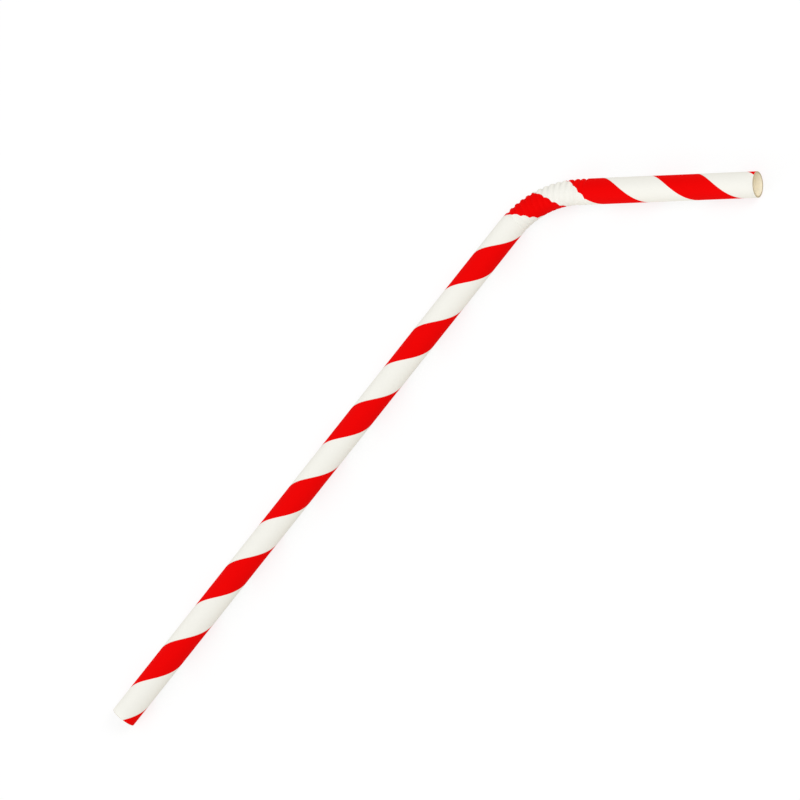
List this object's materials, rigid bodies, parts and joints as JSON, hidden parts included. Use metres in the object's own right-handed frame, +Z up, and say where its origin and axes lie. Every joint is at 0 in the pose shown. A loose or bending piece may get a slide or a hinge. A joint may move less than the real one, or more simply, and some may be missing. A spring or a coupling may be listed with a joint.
{
  "type": "paper drinking straw",
  "caption": "Striped paper drinking straw with a crimped, bent neck: a long leg stands in the glass and the short leg leads to the mouth.",
  "frame": {"origin": "middle of the footprint, on the surface that the straw lies on", "axes": "+X along the long leg from its foot towards the neck, +Z up from the surface; the neck bends towards -Y"},
  "size_m": [0.1938, 0.047, 0.006],
  "materials": {
    "striped_paper": "matt uncoated paper, off-white, printed with one red spiral stripe"
  },
  "bodies": {
    "root": {"straw": "striped_paper"}
  },
  "joints": []
}
